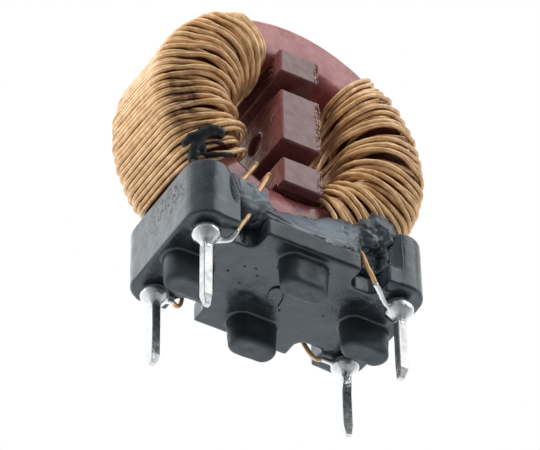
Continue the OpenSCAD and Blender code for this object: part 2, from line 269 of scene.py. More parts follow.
def end_block(p, side):
    """The block on one end of the plate, with its round posts and its keyed corner"""
    block = brick(p, (side * pin_x - post_round, -pin_y, plate_low),
                  (side * pin_x + post_round, pin_y, block_high), block_edge)
    for sy in (-1, 1):
        post = peg(p, side * pin_x, sy * pin_y, plate_low, block_high, post_round, post_edge)
        block = np.minimum(block, post)
    near_x, far_x = sorted((side * key_in, side * key_out))
    near_y, far_y = sorted((side * key_deep, side * half_deep))
    key = brick(p, (near_x, near_y, plate_low), (far_x, far_y, block_high + 0.08), block_edge)
    inwards = np.clip((shoulder_start - side * p[..., 0]) / shoulder_run, 0, 1)
    shoulder = shoulder_low + shoulder_rise * (1 - inwards ** 1.7) ** 0.74
    key = np.maximum(key, (p[..., 2] - shoulder) * 0.7)
    return melt(block, key, 0.12)


def foot(p, x, y):
    """Stand-off foot, slightly drafted, with an eased rim where it meets the board"""
    z = p[..., 2]
    plan = rounded_plan(p, x + foot_off[0], y + foot_off[1], foot_half, foot_corner)
    rim = eased_corner(plan + foot_draft * (plate_low - z) + foot_edge, foot_edge - z, foot_edge)
    return np.maximum(rim, z - plate_low - 0.3)


def header_body(p):
    plate_end = pin_x + 0.6
    body = brick(p, (-plate_end, -half_deep, plate_low), (plate_end, half_deep, plate_high), plate_edge)
    for sx in (-1, 1):
        for sy in (-1, 1):
            notch = rounded_plan(p, sx * notch_x, sy * (half_deep + cut_over),
                                 (notch_half, notch_deep + cut_over), notch_round)
            body = carve(body, notch, 0.12)
    for side in (-1, 1):
        body = melt(body, end_block(p, side), 0.18)
    for sx, sy in ((-1, 0), (1, 0), (0, -1), (0, 1)):
        body = melt(body, foot(p, sx * foot_x, sy * foot_y), 0.12)
    saddle = np.maximum(np.hypot(p[..., 0] - axis_x, p[..., 2] - axis_z) - saddle_r,
                        np.abs(p[..., 1]) - saddle_half)
    return carve(body, saddle, 0.1)


def lay_out(low, high, step):
    """Grid of points a step apart"""
    sides = [np.arange(a, b + step, step) for a, b in zip(low, high)]
    return np.stack(np.meshgrid(*sides, indexing="ij"), -1).astype(np.float32)


def skin(name, body, low, step):
    """Closed mesh, in metres, of a body that was sampled on a grid: one corner in each cell that
    its surface passes through, and one face round each grid edge that the surface cuts"""
    inside = body < 0
    cells = tuple(n - 1 for n in body.shape)
    total = np.zeros((cells[0] * cells[1] * cells[2], 3))
    count = np.zeros(len(total))
    quads = []
    for axis in range(3):
        near = [slice(None)] * 3
        far = [slice(None)] * 3
        near[axis], far[axis] = slice(None, -1), slice(1, None)
        near, far = tuple(near), tuple(far)
        edge = np.argwhere(inside[near] != inside[far])
        a = body[near][tuple(edge.T)]
        b = body[far][tuple(edge.T)]
        where = edge.astype(float)
        where[:, axis] += a / (a - b)
        others = [o for o in range(3) if o != axis]
        keep = np.all([(edge[:, o] > 0) & (edge[:, o] < body.shape[o] - 1) for o in others], axis=0)
        edge, where, a = edge[keep], where[keep], a[keep]
        around = []
        for du, dv in ((0, 0), (1, 0), (1, 1), (0, 1)):
            cell = edge.copy()
            cell[:, others[0]] -= du
            cell[:, others[1]] -= dv
            index = (cell[:, 0] * cells[1] + cell[:, 1]) * cells[2] + cell[:, 2]
            np.add.at(total, index, where)
            np.add.at(count, index, 1)
            around.append(index)
        quad = np.stack(around, 1)
        flip = (a < 0) == (axis == 1)
        quad[flip] = quad[flip][:, ::-1]
        quads.append(quad)
    used = np.flatnonzero(count)
    place = np.zeros(len(count), int)
    place[used] = np.arange(len(used))
    verts = (total[used] / count[used][:, None] * step + np.array(low)) * MM
    faces = place[np.concatenate(quads)]
    mesh = bpy.data.meshes.new(name)
    mesh.from_pydata(verts.tolist(), [], faces.tolist())
    mesh.shade_smooth()
    return mesh


def place_piece(name, mesh, material, node):
    mesh.materials.append(material)
    piece = bpy.data.objects.new(name, mesh)
    bpy.context.scene.collection.objects.link(piece)
    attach(piece, "root")
    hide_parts(node)


def finish(name):
    """Empty material with its shader, output and the piece's own coordinates"""
    material = bpy.data.materials.new(name)
    tree = nodes_of(material)
    shader = add(tree, "BsdfPrincipled")
    link(tree, shader, 0, add(tree, "OutputMaterial"), 0)
    return material, tree, shader, add(tree, "TexCoord")


def grain(tree, here, per_mm, detail=4, stretch=(1, 1, 1), rough=0.55):
    """Cloudy pattern of so many patches a millimetre"""
    size = add(tree, "Mapping", {"Scale": [s / MM for s in stretch]})
    cloud = add(tree, "TexNoise", {"Scale": per_mm, "Detail": detail, "Roughness": rough})
    link(tree, here, "Object", size, 0)
    link(tree, size, 0, cloud, 0)
    return cloud


def between(tree, cloud, low, high, shader, socket, lo=0.35, hi=0.65):
    """Sets a value of the shader from a pattern, from low to high"""
    fitted = fit(tree, cloud, 0, lo, hi, low, high)
    link(tree, fitted, 0, shader, socket)
    return fitted


def tint(tree, cloud, shader, dark, pale, lo=0.35, hi=0.65):
    """Colour that runs from dark to pale over a pattern"""
    ramp = add(tree, "ValToRGB")
    for end, at, colour in zip(ramp.color_ramp.elements, (lo, hi), (dark, pale)):
        end.position = at
        end.color = (*colour, 1)
    link(tree, cloud, 0, ramp, 0)
    link(tree, ramp, 0, shader, "Base Color")
    return ramp


def emboss(tree, cloud, shader, depth_mm, under=None):
    """Relief of a pattern, over the relief that is under it"""
    bump = add(tree, "Bump", {"Strength": 1, "Distance": depth_mm * MM})
    link(tree, cloud, 0, bump, "Height")
    if under is not None:
        link(tree, under, 0, bump, "Normal")
    link(tree, bump, 0, shader, "Normal")
    return bump


def times(tree, a, b):
    both = add(tree, "Math", operation="MULTIPLY")
    link(tree, a, 0, both, 0)
    link(tree, b, 0, both, 1)
    return both


def spot(tree, here, centre, reach):
    """Mask that is 1 in the middle of a spot and fades to 0 at its reach"""
    place = add(tree, "Mapping", {"Location": [-c / r for c, r in zip(centre, reach)],
                                  "Scale": [1 / (r * MM) for r in reach]})
    length = add(tree, "VectorMath", operation="LENGTH")
    link(tree, here, "Object", place, 0)
    link(tree, place, 0, length, 0)
    return fit(tree, length, "Value", 1, 0.6)


header_low = (-half_long - 0.3, -half_deep - 0.35, -0.3)
header_high = (half_long + 0.3, half_deep + 0.35, block_high + 0.4)
p = lay_out(header_low, header_high, header_step)
body = header_body(p) + (0.025 * drift(p, 2.6) + 0.012 * drift(p, 0.8, 1))
# the feet are dented
body += 0.03 * np.clip(2.1 - p[..., 2], 0, 1) * drift(p, 0.55, 14)

black_plastic, tree, shader, here = finish("black_plastic")
tint(tree, grain(tree, here, 0.6), shader, (0.010, 0.012, 0.015), (0.024, 0.029, 0.034))
sheen = between(tree, grain(tree, here, 1.1, 6), 0.13, 0.34, shader, "Roughness")
# the feet have scuffed duller than the rest
duller = add(tree, "Math", {1: 0.3}, "MULTIPLY_ADD")
link(tree, spot(tree, here, (0, 0, 0.1), (30, 30, 2.25)), 0, duller, 0)
link(tree, sheen, 0, duller, 2)
link(tree, duller, 0, shader, "Roughness")
waves = emboss(tree, grain(tree, here, 0.9, 3), shader, 0.045)
fine = emboss(tree, grain(tree, here, 6, 5), shader, 0.008, waves)
# the left end is pitted
pits = times(tree, fit(tree, grain(tree, here, 3.2, 5, rough=0.7), 0, 0.56, 0.64),
             spot(tree, here, (-9.2, -0.8, 5.3), (2.5, 3.3, 1.7)))
pitted = emboss(tree, pits, shader, -0.03, fine)
# a film of resin has crept round the front left post and wrinkled
film = times(tree, grain(tree, here, 1.5, 4, stretch=(1.2, 1.2, 0.6)),
             spot(tree, here, (-5.9, -4.4, 5.6), (0.85, 1.2, 2.0)))
emboss(tree, film, shader, 0.3, pitted)
# and another dulls the front edge of the plate
dulled = spot(tree, here, (0, -5.05, 3.0), (4.6, 0.6, 1.3))
between(tree, dulled, 1.0, 0.5, shader, "Specular IOR Level", 0, 1)
shader.inputs["Specular Tint"].default_value = (0.82, 0.93, 1, 1)

place_piece("header", skin("header", body, header_low, header_step), black_plastic,
            "header_base")

# ---- pins ----
# Four square tinned wires, cropped to a blunt four-sided point and pressed up into the posts.
# Cropping leaves each tip a little uneven, and the dipped tin is bright and slightly wavy.
pin_half, pin_chamfer = pin_half_size[0], 0.05
pin_top, tip_z = pin_middle[2] + pin_half_size[2], pin_middle[2] - pin_half_size[2]
tip_long, tip_half = 0.7, 0.17
# How unevenly a pin leans and is cropped, the height under which it may be twisted, and the
# distance between the rings of points along it
pin_slack = 0.05
twist_under = 0.2
pin_step = 0.35

bright_tin, tree, shader, here = finish("bright_tin")
shader.inputs["Metallic"].default_value = 1
wave = grain(tree, here, 1.4, stretch=(1, 1, 0.4))
tint(tree, wave, shader, (0.52, 0.53, 0.53), (0.76, 0.77, 0.77))
between(tree, grain(tree, here, 2.5, 5), 0.24, 0.44, shader, "Roughness")
emboss(tree, grain(tree, here, 1.6, 4, stretch=(1, 1, 0.6)), shader, 0.04)


def pin(name, x, y, node, seed, twist):
    chance = np.random.default_rng(seed)
    lean = chance.normal(0, pin_slack, 2)
    cropped = chance.normal(0, pin_slack, 2)
    shank = tip_z + tip_long
    rings = [(tip_z, tip_half), (tip_z + 0.03, tip_half + 0.04), (shank - 0.05, pin_half - 0.02),
             (shank + 0.05, pin_half)]
    rings += [(z, pin_half) for z in np.arange(shank + 0.4, pin_top, pin_step)] + [(pin_top, pin_half)]
    verts, faces = [], []
    for z, half in rings:
        near_tip = max(0, 1 - (z - tip_z) / tip_long)
        below = max(0, plate_low - z) / (plate_low - tip_z)
        cx = x + cropped[0] * near_tip + lean[0] * below
        cy = y + cropped[1] * near_tip + lean[1] * below
        turn = math.radians(twist) * min(max(twist_under - z, 0), 1)
        cut = half - min(pin_chamfer, half * 0.4)
        for px, py in ((half, cut), (cut, half), (-cut, half), (-half, cut),
                       (-half, -cut), (-cut, -half), (cut, -half), (half, -cut)):
            verts.append(((cx + px * math.cos(turn) - py * math.sin(turn)) * MM,
                          (cy + px * math.sin(turn) + py * math.cos(turn)) * MM, z * MM))
    for i in range(len(rings) - 1):
        for k in range(8):
            a, b = i * 8 + k, i * 8 + (k + 1) % 8
            faces.append((a, b, b + 8, a + 8))
    faces.append(tuple(reversed(range(8))))
    faces.append(tuple(range(len(verts) - 8, len(verts))))
    mesh = bpy.data.meshes.new(name)
    mesh.from_pydata(verts, [], faces)
    place_piece(name, mesh, bright_tin, node)


for i, (name, sx, sy, twist) in enumerate((("front_left", -1, -1, 0), ("front_right", 1, -1, 0),
                                           ("back_left", -1, 1, 3), ("back_right", 1, 1, -19))):
    pin("tinned_pin_" + name, sx * pin_x, sy * pin_y, "pin_" + name, 20 + i, twist)

# ---- core ----
# A ferrite ring in a thick red powder coating, which rounds its edges and runs a little uneven.
# It was dipped in varnish once it was wound, which soaked in under the coils, and the coating is
# painted nearly black there: partly that varnish, partly painted shade of the turns lying over it.
core_in, core_out, core_half, core_edge = 6.2, core_half_size[0], core_half_size[1], 1.0
ring_steps, edge_steps = 300, 10
# Angles that the left and the right coil cover, and over how many degrees the varnish and painted shade end
varnish_and_shade_spans = ((114, 221), (-66, 50))
varnish_and_shade_fade = 4


def core_body(p):
    r = np.hypot(p[..., 0] - axis_x, p[..., 2] - axis_z)
    return eased_corner(np.abs(r - (core_in + core_out) / 2) - (core_out - core_in) / 2 + core_edge,
                        np.abs(p[..., 1]) - core_half + core_edge, core_edge)


def core_section(steps):
    """Round the core's section, as radius and distance along the axis: bore, front, outside,
    back, bore, with each rounded edge in so many steps"""
    near, far, wide = core_in + core_edge, core_out - core_edge, core_half - core_edge
    points = []
    for r, y, start in ((near, -wide, 180), (far, -wide, 270), (far, wide, 0), (near, wide, 90)):
        for i in range(steps + 1):
            a = math.radians(start + 90 * i / steps)
            points.append((r + core_edge * math.cos(a), y + core_edge * math.sin(a)))
    return np.array(points)


section = core_section(edge_steps)
around = np.linspace(0, 2 * np.pi, ring_steps, endpoint=False)[:, None]
coat = np.stack([axis_x + section[:, 0] * np.cos(around), section[:, 1] + 0 * around,
                 axis_z + section[:, 0] * np.sin(around)], -1)
middle_r = (core_in + core_out) / 2
middle = np.stack([axis_x + middle_r * np.cos(around), 0 * around, axis_z + middle_r * np.sin(around)], -1)
outwards = coat - middle
outwards /= np.linalg.norm(outwards, axis=-1)[..., None]
coat += outwards * (0.03 * drift(coat, 2.0, 2) + 0.008 * drift(coat, 0.5, 3) - 0.02)[..., None]
n = len(section)
faces = []
for i in range(ring_steps):
    this_ring, next_ring = i * n, (i + 1) % ring_steps * n
    for k in range(n):
        faces.append((this_ring + k, this_ring + (k + 1) % n, next_ring + (k + 1) % n, next_ring + k))
ring_mesh = bpy.data.meshes.new("core_ring")
ring_mesh.from_pydata((coat * MM).reshape(-1, 3).tolist(), [], faces)
ring_mesh.shade_smooth()


def round_ring(tree, here, start, stop, fade):
    """Mask that is 1 between two angles of the ring and fades out past them"""
    upright = add(tree, "Mapping", {"Location": (-axis_x * MM, -axis_z * MM, 0),
                                    "Rotation": (math.radians(-90), 0, 0)})
    angle = add(tree, "TexGradient")
    angle.gradient_type = "RADIAL"
    # how far that is from the middle of the range, as a share of a turn
    from_middle = add(tree, "Math", {1: ((start + stop) / 2 / 360 + 0.5) % 1}, "SUBTRACT")
    off = add(tree, "Math", {1: 0.5}, "PINGPONG")
    link(tree, here, "Object", upright, 0)
    link(tree, upright, 0, angle, 0)
    link(tree, angle, "Fac", from_middle, 0)
    link(tree, from_middle, 0, off, 0)
    half = (stop - start) / 2
    return fit(tree, off, 0, (half + fade) / 360, half / 360)


def stain_and_painted_light_over(tree, under, mask, colour, shader):
    """A second colour that covers the first where the mask is 1, for stains, painted shade and painted sheen
    """
    both = add(tree, "MixRGB", {"Color2": (*colour, 1)})
    link(tree, mask, 0, both, "Fac")
    link(tree, under, 0, both, "Color1")
    link(tree, both, 0, shader, "Base Color")
    return both


red_coating, tree, shader, here = finish("red_coating")
colour = tint(tree, grain(tree, here, 0.7, stretch=(1, 0.5, 1)), shader, (0.29, 0.065, 0.063),
              (0.44, 0.145, 0.14))
under_coils = add(tree, "Math", operation="MAXIMUM")
# varnish, and painted shade cast by the turns, darken the coating under each coil
for i, (start, stop) in enumerate(varnish_and_shade_spans):
    varnish_and_shade = round_ring(tree, here, start, stop, varnish_and_shade_fade)
    colour = stain_and_painted_light_over(tree, colour, varnish_and_shade, (0.085, 0.02, 0.014), shader)
    link(tree, varnish_and_shade, 0, under_coils, i)
between(tree, grain(tree, here, 2), 0.16, 0.34, shader, "Roughness")
emboss(tree, grain(tree, here, 1.6), shader, 0.035)
# the coating shines on the open faces only, not in the bore or under the coils
from_axis = add(tree, "Mapping", {"Location": (-axis_x, 0, -axis_z), "Scale": (1 / MM, 0, 1 / MM)})
radius = add(tree, "VectorMath", operation="LENGTH")
link(tree, here, "Object", from_axis, 0)
link(tree, from_axis, 0, radius, 0)
open_face = times(tree, fit(tree, radius, "Value", core_in + 0.1, core_in + 0.5),
                  fit(tree, under_coils, 0, 0, 1, 1, 0))
between(tree, open_face, 0.05, 0.9, shader, "Specular IOR Level", 0, 1)
place_piece("core_ring", ring_mesh, red_coating, "coated_core")

# ---- divider ----
# One maroon moulding wedged across the ring's bore: three bars joined by a thin web. The bars'
# ends were polished in the mould, and their long sides are dished where ejectors pushed it out.
bar_half, bar_long, bar_edge = 1.55, 4.4, 0.13
web_half, web_long, web_edge = 0.6, 2.2, 0.05
# Lower and upper side of each bar, from the ring's axis
bars = ((4.28, 6.5), (-2.34, 2.53), (-6.36, -4.0))
dish_y, dish_z, dish_r, dish_deep = -0.8, 0.05, 0.85, 0.3
divider_step = 0.08


def divider_body(p):
    q = p - np.array((axis_x, 0, axis_z), np.float32)
    x, y, z = q[..., 0], q[..., 1], q[..., 2]
    body = brick(q, (-web_half, -web_long, -core_in), (web_half, web_long, core_in), web_edge)
    for low, high in bars:
        bar = brick(q, (-bar_half, -bar_long, low), (bar_half, bar_long, high), bar_edge)
        body = melt(body, bar, 0.15)
    for side in (-1, 1):
        dish = np.maximum(np.hypot(y - dish_y, z - dish_z) - dish_r, bar_half - dish_deep - side * x)
        body = carve(body, dish, 0.08)
    # the bars' ends overlap the ring's faces, and the rest of them fits its bore
    in_bore = np.hypot(x, z) - core_in + 0.02
    over_face = core_half + 0.04 - np.abs(y)
    return np.maximum(body, np.minimum(in_bore, over_face))


divider_low = (axis_x - 1.9, -bar_long - 0.4, axis_z - core_in - 0.4)
divider_high = (axis_x + 1.9, bar_long + 0.4, axis_z + core_in + 0.4)
p = lay_out(divider_low, divider_high, divider_step)
body = divider_body(p) + 0.02 * drift(p, 1.5, 4) + 0.006 * drift(p, 0.35, 5)

maroon_plastic, tree, shader, here = finish("maroon_plastic")
tint(tree, grain(tree, here, 0.9), shader, (0.12, 0.036, 0.036), (0.17, 0.058, 0.056))
between(tree, grain(tree, here, 1.5, 5), 0.16, 0.36, shader, "Roughness")
emboss(tree, grain(tree, here, 1.5), shader, 0.03)
# only the bars' front and back ends are polished
way = add(tree, "SeparateXYZ")
square_on = add(tree, "Math", operation="ABSOLUTE")
link(tree, here, "Normal", way, 0)
link(tree, way, "Y", square_on, 0)
between(tree, square_on, 0.3, 1.0, shader, "Specular IOR Level", 0.75, 0.95)
place_piece("bore_divider", skin("bore_divider", body, divider_low, divider_step), maroon_plastic,
            "core_divider")

# ---- windings ----
# Two coils of enamelled copper wire, one on each side of the ring. Each is wound up its side in
# one layer and back down in the grooves. The wire is stiff, so its turns bow off the faces, lean
# and cross in loose bundles, and pile up in the bore. Both ends run down to the header's pins.
wire_r, wire_gap = 0.19, 0.01
# The wire's radius in the mesh: a little under what the turns are laid out for, so a dark line
# shows between neighbours
wire_seen = 0.173
# Places round the core's section at which a turn is worked out, from the middle of the bore
stations = 72
# The groove of each turn, in winding order: the even ones on the way up, the odd ones back down
layer_turns = 23
grooves = np.array(list(range(0, 2 * layer_turns, 2)) + list(range(2 * layer_turns + 1, -2, -2)))
turn_count = len(grooves)
turn_rank = np.argsort(np.argsort(grooves))
first_layer = np.arange(turn_count) < layer_turns
# Half of a turn's path in the ring's section, as radius and distance from its middle plane: as
# tight as it can lie, and as loose as the loosest turn
tight_path = ((10.6, 0), (10.6, 2.5), (10.45, 3.1), (10.05, 3.5), (9.4, 3.72), (8.6, 3.85), (7.8, 3.9),
              (7.1, 3.85), (6.5, 3.6), (6.1, 3.1), (6.0, 2.4), (6.0, 0))
loose_path = ((10.62, 0), (10.62, 2.6), (10.5, 3.15), (10.15, 3.6), (9.6, 4.1), (8.8, 4.65), (7.9, 4.95),
              (6.95, 4.98), (6.05, 4.65), (5.3, 4.1), (4.75, 3.45), (4.4, 2.7), (4.5, 0))
# Where the turns lie in each coil, from its lower end up: how many lie together, and the angle
# of their middle
left_outside = ((5, 217.7), (4, 208.3), (2, 201.6), (4, 195), (4, 185.6), (4, 176), (4, 166.5), (5, 156),
                (4, 145.8), (4, 136.2), (5, 125.6), (3, 115.2))
left_front = ((2, 224.5), (3, 218), (3, 210.2), (3, 202.4), (3, 195.2), (4, 186.8), (4, 177.2), (4, 167.8),
              (4, 158.4), (4, 149), (4, 139.6), (5, 128), (5, 114.6))
left_back = ((3, 223.5), (5, 213.6), (4, 202.6), (5, 191.5), (5, 179.8), (5, 168), (6, 155), (5, 142),
             (5, 130), (5, 118))
right_outside = ((4, -62.5), (3, -53.8), (4, -45.1), (3, -36.4), (4, -27.6), (3, -18.8), (4, -10), (3, -1.2),
                 (4, 7.6), (3, 16.4), (4, 25.2), (3, 34), (4, 42.8), (2, 51.2))
right_front = ((3, -68), (3, -60), (3, -52.5), (4, -42.7), (4, -32.3), (4, -22.6), (3, -13), (3, -5),
               (4, 4.4), (4, 14.4), (3, 23.6), (3, 31.6), (3, 40), (4, 50))
right_back = ((4, -65), (5, -54.5), (6, -41.5), (4, -29.6), (5, -19), (4, -8.4), (6, 3.5), (4, 15.3),
              (5, 26.2), (5, 38.5))
# Degrees from one turn to the next within a bundle, round the outside and on a face
outer_pitch, face_pitch = 2.12, 2.25
# Rounds of settling, and how many of them come before the wire stops pulling
settle_rounds, pull_rounds = 300, 230


def section_stations(n):
    """Stations on the core's section, over its front and then its back, and the way out there"""
    bore = np.array([[core_in, 0.0]])
    loop = np.concatenate([bore, core_section(30), bore])
    length = np.concatenate([[0], np.cumsum(np.linalg.norm(np.diff(loop, axis=0), axis=1))])
    at = (np.arange(n) + 0.5) / n * length[-1]
    base = np.stack([np.interp(at, length, loop[:, 0]), np.interp(at, length, loop[:, 1])], -1)
    centre = np.stack([np.clip(base[:, 0], core_in + core_edge, core_out - core_edge),
                       np.clip(base[:, 1], -core_half + core_edge, core_half - core_edge)], -1)
    normal = base - centre
    normal /= np.linalg.norm(normal, axis=1)[:, None]
    return base, normal


base, normal = section_stations(stations)


def eased(points, per_span):
    """Smooth curve through chosen points"""
    p = np.array(points, float)
    p = np.concatenate([[2 * p[0] - p[1]], p, [2 * p[-1] - p[-2]]])
    out = []
    for i in range(1, len(p) - 2):
        a, b, c, d = p[i - 1], p[i], p[i + 1], p[i + 2]
        for t in np.arange(per_span) / per_span:
            out.append(0.5 * (2 * b + (c - a) * t + (2 * a - 5 * b + 4 * c - d) * t * t
                              + (3 * b - a - 3 * c + d) * t ** 3))
    out.append(p[-2])
    return np.array(out)


def lift_to(path):
    """How far each station is lifted off the core for the wire to follow a path"""
    half = eased(path, 8)
    whole = np.concatenate([half, half[::-1] * (1, -1)])
    lift = []
    for b, n in zip(base, normal):
        rel = whole - b
        along, across = rel @ n, rel @ (-n[1], n[0])
        cut = np.flatnonzero((across[:-1] * across[1:] <= 0) & (along[:-1] > 0))
        i = cut[np.argmin(along[cut])]
        t = across[i] / (across[i] - across[i + 1] + 1e-9)
        lift.append(along[i] + t * (along[i + 1] - along[i]))
    return np.array(lift) - wire_r - wire_gap


def spread(bundles, pitch):
    """Angle of every turn, from bundles of so many turns round a middle"""
    up = math.copysign(1, bundles[-1][1] - bundles[0][1])
    return np.concatenate([middle + up * pitch * (np.arange(n) - (n - 1) / 2) for n, middle in bundles])


def wander(chance, amount):
    """Slow random change along every turn, at its stations"""
    rows = chance.normal(0, amount, (turn_count, 13))
    knots = np.linspace(0, stations - 1, 13)
    return np.array([np.interp(np.arange(stations), knots, row) for row in rows])


def turn_angles(outside, front, back, slant, gather, chance):
    """Angle that every turn makes for at each station. slant says how far it leans towards the
    front round the outside, and gather how far it slides along the bore."""
    on_front = spread(front, face_pitch)
    for i in range(turn_count - 1):
        # some neighbours cross
        if chance.random() < 0.25:
            on_front[[i, i + 1]] = on_front[[i + 1, i]]
    on_front = on_front[turn_rank]
    on_out = spread(outside, outer_pitch)[turn_rank]
    on_back = spread(back, face_pitch)[turn_rank]
    r, y = base.T
    outer = np.clip((r - 7.8) / 2.4, 0, 1)
    outer = outer * outer * (3 - 2 * outer)
    behind = np.clip(0.5 + y / 5, 0, 1)
    face = on_front[:, None] * (1 - behind) + on_back[:, None] * behind
    out = on_out[:, None] + slant(on_out)[:, None] * np.clip(-y / core_half, 0, 1.1) ** 1.4
    angles = face * (1 - outer) + out * outer
    angles += gather(on_front)[:, None] * np.clip((7.2 - r) / 1.2, 0, 1)
    # in the bore a turn moves on to the groove of the next
    share = 0.5 * np.clip(1 - np.arange(stations) / 9, 0, 1)
    angles[1:] += (angles[:-1, -1:] - angles[1:, :1]) * share
    angles[:-1] += (angles[1:, :1] - angles[:-1, -1:]) * share[::-1]
    return angles + wander(chance, 0.5) * (1 - 0.8 * outer)


def turn_lifts(angles, chance):
    """Height over the core that every turn makes for at each station"""
    r, y = base.T
    tight, slack = lift_to(tight_path), lift_to(loose_path)
    ease = np.where(first_layer, chance.uniform(0.1, 0.5, turn_count), chance.uniform(0.6, 1.08, turn_count))
    # the coil's end turns are pulled tight
    ease *= np.clip(np.minimum(turn_rank, turn_count - 1 - turn_rank) / 5, 0.2, 1)
    lifts = tight + (ease[:, None] + wander(chance, 0.07)) * (slack - tight)
    # the header's posts hold the turns close to the core, and so does the resin between them
    held = np.where(first_layer, 0, 0.38)[:, None] * np.clip(np.abs(y) / core_half, 0, 1) ** 4
    height = axis_z + r * np.sin(np.radians(angles))
    by_post = np.abs(axis_x + r * np.cos(np.radians(angles))) > 5.2
    free = np.clip((height - np.where(by_post, 7.5, 5.4)) / 1.3, 0, 1)
    return held + free * (lifts - held)


def settled(angles, lifts):
    """Angles and lifts once every turn has been drawn towards where it makes for, smoothed as
    stiff wire is, and pushed off its neighbours so that no two turns cut"""
    th, h = angles.copy(), lifts.copy()
    order = np.argsort(grooves)
    # the first and the last turn go only part of the way round
    live = np.ones((turn_count, stations), bool)
    live[0, :stations * 3 // 4] = False
    live[-1, stations * 3 // 4:] = False
    radius = base[:, 0] + normal[:, 0] * (wire_r + wire_gap)
    for done in range(settle_rounds):
        if done < pull_rounds:
            h += 0.06 * (lifts - h)
            th += 0.04 * (angles - th)
            for a in (th, h):
                flat = a.reshape(-1)
                flat[1:-1] += 0.3 * (flat[:-2] + flat[2:] - 2 * flat[1:-1])
        t, l = th[order], h[order]
        for step in range(1, 7):
            r = radius + normal[:, 0] * (l[step:] + l[:-step]) / 2
            du = np.radians(t[step:] - t[:-step]) * r
            dh = l[step:] - l[:-step]
            apart = np.hypot(du, dh) + 1e-6
            push = np.clip(2 * wire_r + 0.004 - apart, 0, None) * 0.45
            push *= live[order][step:] & live[order][:-step]
            gu, gh = push * du / apart, push * dh / apart
            t[step:] += np.degrees(gu / r)
            t[:-step] -= np.degrees(gu / r)
            l[step:] += gh
            l[:-step] -= gh
        th[order], h[order] = t, np.maximum(l, 0)
    return th, h


def wound(outside, front, back, slant, gather, seed):
    """Points of the wire's centre line, for every turn at every station"""
    chance = np.random.default_rng(seed)
    angles = turn_angles(outside, front, back, slant, gather, chance)
    th, h = settled(angles, turn_lifts(angles, chance))
    r = base[None, :, 0] + normal[None, :, 0] * (wire_r + wire_gap + h)
    y = base[None, :, 1] + normal[None, :, 1] * (wire_r + wire_gap + h)
    a = np.radians(th)
    return np.stack([axis_x + r * np.cos(a), y, axis_z + r * np.sin(a)], -1)


def on_ring(r, y, deg):
    return (axis_x + r * math.cos(math.radians(deg)), y, axis_z + r * math.sin(math.radians(deg)))


def wire_mesh(name, routes, radius, sides=10):
    """Round wire along each route, as closed tubes with a flat cut at each end"""
    verts, faces, first_vert = [], [], 0
    for route in routes:
        route = np.array(route, float)
        n = len(route)
        along = np.gradient(route, axis=0)
        along /= np.linalg.norm(along, axis=1)[:, None]
        u = np.zeros_like(route)
        v = np.array((0.0, 1.0, 0.0)) if abs(along[0][1]) < 0.8 else np.array((1.0, 0.0, 0.0))
        for i, t in enumerate(along):
            v = v - t * np.dot(v, t)
            v = v / np.linalg.norm(v)
            u[i] = v
        w = np.cross(along, u)
        a = np.arange(sides) * 2 * np.pi / sides
        r = radius(np.linspace(0, 1, n)) if callable(radius) else np.full(n, radius)
        verts.append((route[:, None] + r[:, None, None] * (
            np.cos(a)[None, :, None] * u[:, None] + np.sin(a)[None, :, None] * w[:, None])).reshape(-1, 3))
        i, k = np.meshgrid(np.arange(n - 1), np.arange(sides), indexing="ij")
        one, two = i * sides + k, i * sides + (k + 1) % sides
        quads = np.stack([one, two, two + sides, one + sides], -1).reshape(-1, 4) + first_vert
        faces += quads.tolist()
        faces.append([first_vert + k for k in range(sides)][::-1])
        faces.append([first_vert + (n - 1) * sides + k for k in range(sides)])
        first_vert += n * sides
    mesh = bpy.data.meshes.new(name)
    mesh.from_pydata((np.concatenate(verts) * MM).tolist(), [], faces)
    mesh.shade_smooth()
    return mesh


# The wire's ends, from the pin up to the coil at the back, and from the coil down to the pin at
# the front
turn_half = core_half + wire_r + wire_gap
lead_back_left = [(-6.05, 3.66, 1.9), (-5.5, 3.95, 2), (-5.05, 4.25, 2.75), (-4.85, 4.4, 4.2),
                  (-5.15, 4.3, 6), on_ring(10.1, turn_half + 0.45, 233)]
lead_front_left = [(-4.3, -3.7, 5.2), (-4.5, -4.0, 4.6), (-4.74, -4.3, 3.96), (-5.1, -4.4, 3.3),
                   (-5.45, -4.45, 2.65), (-5.69, -4.4, 2.1)]
lead_back_right = [(5.9, 3.72, 1.9), (5.42, 3.98, 2), (4.98, 4.2, 2.7), (4.4, 4.4, 4.1),
                   (3.72, 4.2, 5.4), on_ring(8.8, turn_half, -67)]
lead_front_right = [on_ring(8.8, -turn_half - 0.2, -69.5), (3.6, -4.05, 5.5), (3.7, -4.5, 4.6),
                    (3.86, -4.78, 4), (4.2, -4.8, 3.13), (4.62, -4.75, 2.42), (4.98, -4.6, 1.92)]
# Before the left coil's front lead, its wire goes round the core once more, away from the coil
stray_corner, stray_off = 0.6, 0.2


def stray(a, deg):
    """Point at an angle round the core's section, and at an angle of the ring"""
    c, s = math.cos(math.radians(a)), math.sin(math.radians(a))
    middle = core_out + stray_off - stray_corner if c > 0 else core_in - stray_off + stray_corner
    side = 1 if s > 0 else -1
    return on_ring(middle + stray_corner * c, side * (turn_half - stray_corner) + stray_corner * s, deg)


stray_turn = [stray(15 + 30 * i, deg) for i, deg in enumerate((
    228, 229.5, 231, 234, 235, 236, 237, 237.3, 237.6, 238.8, 239.2, 240, 242, 243.5, 245, 246,
    246.8, 247.4, 248, 248.2, 248.2, 247.4))]

copper_enamel, tree, shader, here = finish("copper_enamel")
shader.inputs["Metallic"].default_value = 0.45
copper_tone = tint(tree, grain(tree, here, 1.4, 2), shader, (0.64, 0.37, 0.17), (0.92, 0.62, 0.33))
